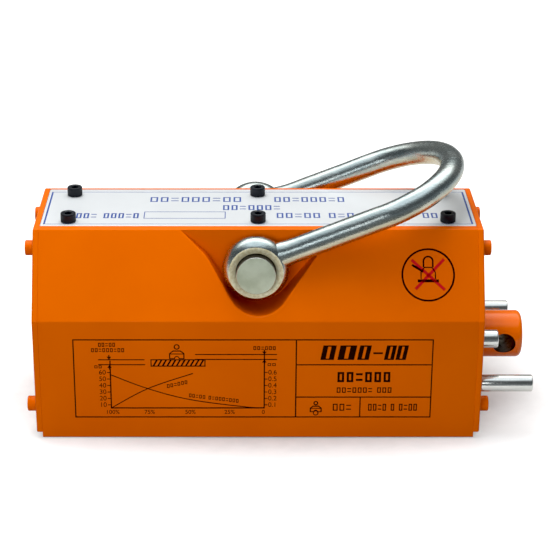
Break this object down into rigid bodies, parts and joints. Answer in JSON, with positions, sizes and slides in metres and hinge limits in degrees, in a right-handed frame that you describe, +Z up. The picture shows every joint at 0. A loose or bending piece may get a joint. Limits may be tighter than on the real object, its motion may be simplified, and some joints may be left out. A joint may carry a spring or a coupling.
{
  "type": "permanent lifting magnet",
  "caption": "Hand-switched permanent lifting magnet: steel pole block with a bearing-mounted magnetic rotor, lever hub, stop pins and a swinging shackle.",
  "frame": {"origin": "bottom centre of the whole object's box, on the plane of the pole faces; the body's own middle is 18 mm from it towards -X, because the hub and stop pins stand out at one end", "axes": "+X along the magnet towards the lever hub, +Y from the front pole to the rear pole, +Z up towards the shackle"},
  "size_m": [0.43, 0.176, 0.2279],
  "materials": {
    "orange_paint": "satin orange enamel",
    "bare_steel": "ground mild steel",
    "zinc": "zinc plated",
    "black_oxide": "black oxide",
    "label_white": "white printed aluminium",
    "magnet_nickel": "nickel plated magnet",
    "brass": "machined brass",
    "bearing_steel": "polished bearing steel"
  },
  "bodies": {
    "body": {"front_pole": "orange_paint", "rear_pole": "orange_paint", "bottom_spacer": "brass", "centre_block": "brass", "pin_grub_screw": "black_oxide", "stator_magnet_1": "magnet_nickel", "stator_magnet_2": "magnet_nickel", "stator_magnet_3": "magnet_nickel", "stator_magnet_4": "magnet_nickel", "stator_magnet_5": "magnet_nickel", "stator_magnet_6": "magnet_nickel", "label_plate": "label_white", "label_screw_1": "black_oxide", "label_screw_2": "black_oxide", "label_screw_3": "black_oxide", "label_screw_4": "black_oxide", "label_screw_5": "black_oxide", "label_screw_6": "black_oxide", "left_cover": "orange_paint", "right_cover": "orange_paint", "cover_screw_1": "orange_paint", "cover_screw_2": "orange_paint", "cover_screw_3": "orange_paint", "cover_screw_4": "orange_paint", "cover_screw_5": "orange_paint", "cover_screw_6": "orange_paint", "cover_screw_7": "orange_paint", "cover_screw_8": "orange_paint", "left_bearing_outer_ring": "bearing_steel", "right_bearing_outer_ring": "bearing_steel", "front_stop_pin": "zinc", "rear_stop_pin": "zinc", "catch_pin": "zinc", "shackle_pin": "zinc"},
    "rotor": {"lever_shaft": "orange_paint", "idle_shaft": "bare_steel", "rotor_pole_front": "bare_steel", "rotor_pole_rear": "bare_steel", "rotor_magnet_1": "magnet_nickel", "rotor_magnet_2": "magnet_nickel", "rotor_magnet_3": "magnet_nickel", "flange_screw_1": "black_oxide", "flange_screw_2": "black_oxide", "flange_screw_3": "black_oxide", "flange_screw_4": "black_oxide", "flange_screw_5": "black_oxide", "flange_screw_6": "black_oxide", "flange_screw_7": "black_oxide", "flange_screw_8": "black_oxide", "left_bearing_inner_ring": "bearing_steel", "right_bearing_inner_ring": "bearing_steel"},
    "left_cage": {"left_ball_cage": "bearing_steel"},
    "right_cage": {"right_ball_cage": "bearing_steel"},
    "shackle": {"shackle": "zinc"}
  },
  "joints": [
    {"name": "rotor_turn", "type": "hinge", "parent": "body", "child": "rotor", "pos_m": [-0.018, 0, 0.058], "axis": [-1, 0, 0], "range_deg": [0, 176]},
    {"name": "left_cage_turn", "type": "hinge", "parent": "body", "child": "left_cage", "pos_m": [-0.018, 0, 0.058], "axis": [-1, 0, 0], "range_deg": [0, 71]},
    {"name": "right_cage_turn", "type": "hinge", "parent": "body", "child": "right_cage", "pos_m": [-0.018, 0, 0.058], "axis": [-1, 0, 0], "range_deg": [0, 71]},
    {"name": "shackle_swing", "type": "hinge", "parent": "body", "child": "shackle", "pos_m": [-0.0199, 0, 0.147], "axis": [0, -1, 0], "range_deg": [0, 125]}
  ],
  "couplings": [
    {"joint": "left_cage_turn", "follows": "rotor_turn", "ratio": 0.3972},
    {"joint": "right_cage_turn", "follows": "rotor_turn", "ratio": 0.3972}
  ]
}
